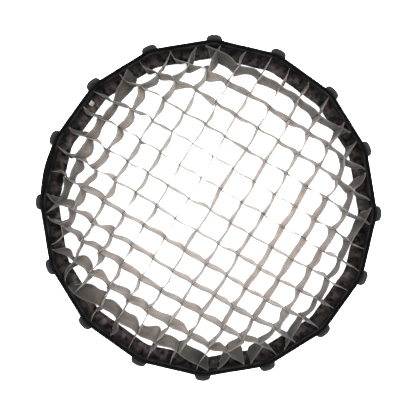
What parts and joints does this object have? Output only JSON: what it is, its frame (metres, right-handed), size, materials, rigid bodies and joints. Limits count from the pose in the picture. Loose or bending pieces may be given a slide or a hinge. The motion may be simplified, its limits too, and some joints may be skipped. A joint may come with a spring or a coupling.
{
  "type": "softbox egg-crate grid",
  "caption": "Fabric egg-crate light grid of square cells in an edge band, pressed into a many-sided fabric rim with a rib pocket at each corner.",
  "frame": {"origin": "centre of the rim at its rear edge, on the surface that it rests on", "axes": "+Z out of the front of the grid, along the light's way; +X and +Y along the two families of strips"},
  "size_m": [0.7078, 0.7078, 0.0532],
  "materials": {
    "rim_fabric": "matt black coated woven nylon",
    "binding_tape": "black woven binding with a faint sheen",
    "loop_pile": "matt fuzzy loop pile",
    "hook_pile": "matt stiff hook pile",
    "pocket_webbing": "charcoal ribbed webbing",
    "cap_plastic": "matt moulded plastic",
    "band_fabric": "creased brown-black woven nylon",
    "strip_fabric": "thin warm grey woven nylon",
    "label_tape": "blank pale satin tape"
  },
  "bodies": {
    "rim": {"rim_panels": "rim_fabric", "front_welt": "binding_tape", "rear_hem": "binding_tape", "loop_tape": "loop_pile", "rib_pocket_01": "pocket_webbing", "rib_pocket_02": "pocket_webbing", "rib_pocket_03": "pocket_webbing", "rib_pocket_04": "pocket_webbing", "rib_pocket_05": "pocket_webbing", "rib_pocket_06": "pocket_webbing", "rib_pocket_07": "pocket_webbing", "rib_pocket_08": "pocket_webbing", "rib_pocket_09": "pocket_webbing", "rib_pocket_10": "pocket_webbing", "rib_pocket_11": "pocket_webbing", "rib_pocket_12": "pocket_webbing", "rib_pocket_13": "pocket_webbing", "rib_pocket_14": "pocket_webbing", "rib_pocket_15": "pocket_webbing", "rib_pocket_16": "pocket_webbing", "rib_tip_caps": "cap_plastic"},
    "grid": {"grid_band": "band_fabric", "hook_tape": "hook_pile", "front_binding": "binding_tape", "rear_binding": "binding_tape", "strip_x_01": "strip_fabric", "strip_x_02": "strip_fabric", "strip_x_03": "strip_fabric", "strip_x_04": "strip_fabric", "strip_x_05": "strip_fabric", "strip_x_06": "strip_fabric", "strip_x_07": "strip_fabric", "strip_x_08": "strip_fabric", "strip_x_09": "strip_fabric", "strip_x_10": "strip_fabric", "strip_x_11": "strip_fabric", "strip_x_12": "strip_fabric", "strip_x_13": "strip_fabric", "strip_y_01": "strip_fabric", "strip_y_02": "strip_fabric", "strip_y_03": "strip_fabric", "strip_y_04": "strip_fabric", "strip_y_05": "strip_fabric", "strip_y_06": "strip_fabric", "strip_y_07": "strip_fabric", "strip_y_08": "strip_fabric", "strip_y_09": "strip_fabric", "strip_y_10": "strip_fabric", "strip_y_11": "strip_fabric", "strip_y_12": "strip_fabric", "strip_y_13": "strip_fabric", "blank_label": "label_tape"}
  },
  "joints": [
    {"name": "grid_lift", "type": "slide", "parent": "rim", "child": "grid", "axis": [0, 0, 1], "range_m": [0, 0.06]}
  ]
}
